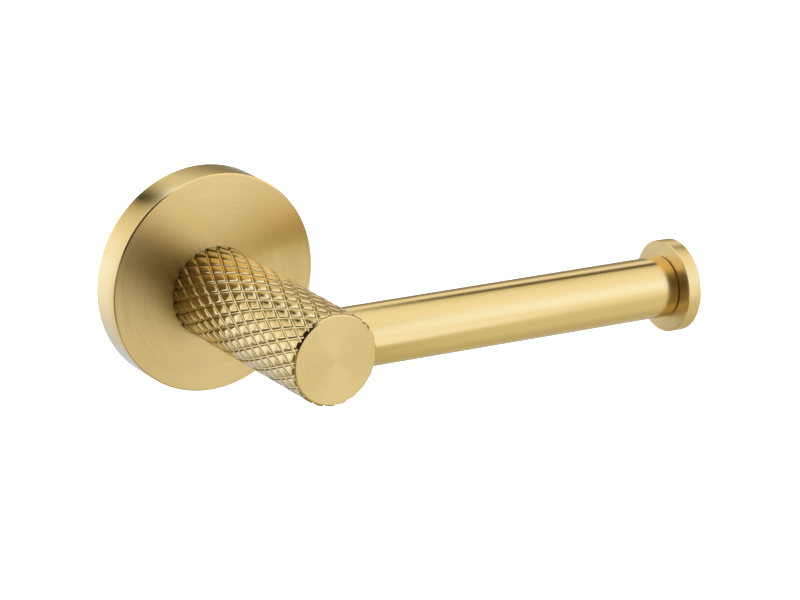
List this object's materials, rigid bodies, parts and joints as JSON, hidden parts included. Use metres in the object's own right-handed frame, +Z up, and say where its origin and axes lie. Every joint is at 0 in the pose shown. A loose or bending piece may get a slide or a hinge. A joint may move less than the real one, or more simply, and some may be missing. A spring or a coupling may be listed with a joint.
{
  "type": "toilet paper holder",
  "caption": "Wall-mounted toilet paper holder: round flange, knurled post and a smooth open-ended arm with an end disc, in brushed gold.",
  "frame": {"origin": "on the wall, on the axis of the post, 2.6 mm below the centre of the wall plate's back face", "axes": "+Y into the wall, +X along the arm from post to end disc, +Z up"},
  "size_m": [0.1569, 0.1062, 0.065],
  "materials": {
    "brushed_gold": "fine circular brushing, satin",
    "knurled_gold": "diamond knurl cut into a bright satin surface",
    "satin_gold": "smooth satin",
    "raw_brass": "as machined",
    "stainless_steel": "pressed or machined stainless steel",
    "zinc_steel": "bright zinc plated",
    "grey_nylon": "moulded nylon"
  },
  "bodies": {
    "wall_fixing": {"wall_plate": "stainless_steel", "wall_screw_upper": "zinc_steel", "wall_screw_lower": "zinc_steel", "wall_plug_upper": "grey_nylon", "wall_plug_lower": "grey_nylon"},
    "holder": {"wall_flange": "brushed_gold", "knurled_post": "knurled_gold", "post_screw": "zinc_steel", "post_spring_washer": "zinc_steel", "post_locating_pin": "stainless_steel", "roll_arm": "satin_gold", "arm_root_insert": "raw_brass", "arm_stud": "zinc_steel", "arm_tip_insert": "raw_brass", "arm_end_disc": "brushed_gold", "disc_stud": "zinc_steel"},
    "grub": {"grub_screw": "stainless_steel"}
  },
  "joints": [
    {"name": "cover_slide", "type": "slide", "parent": "wall_fixing", "child": "holder", "axis": [0, -1, 0], "range_m": [0, 0.012]},
    {"name": "grub_screw_travel", "type": "slide", "parent": "holder", "child": "grub", "axis": [0, 0, -1], "range_m": [0, 0.003]}
  ]
}
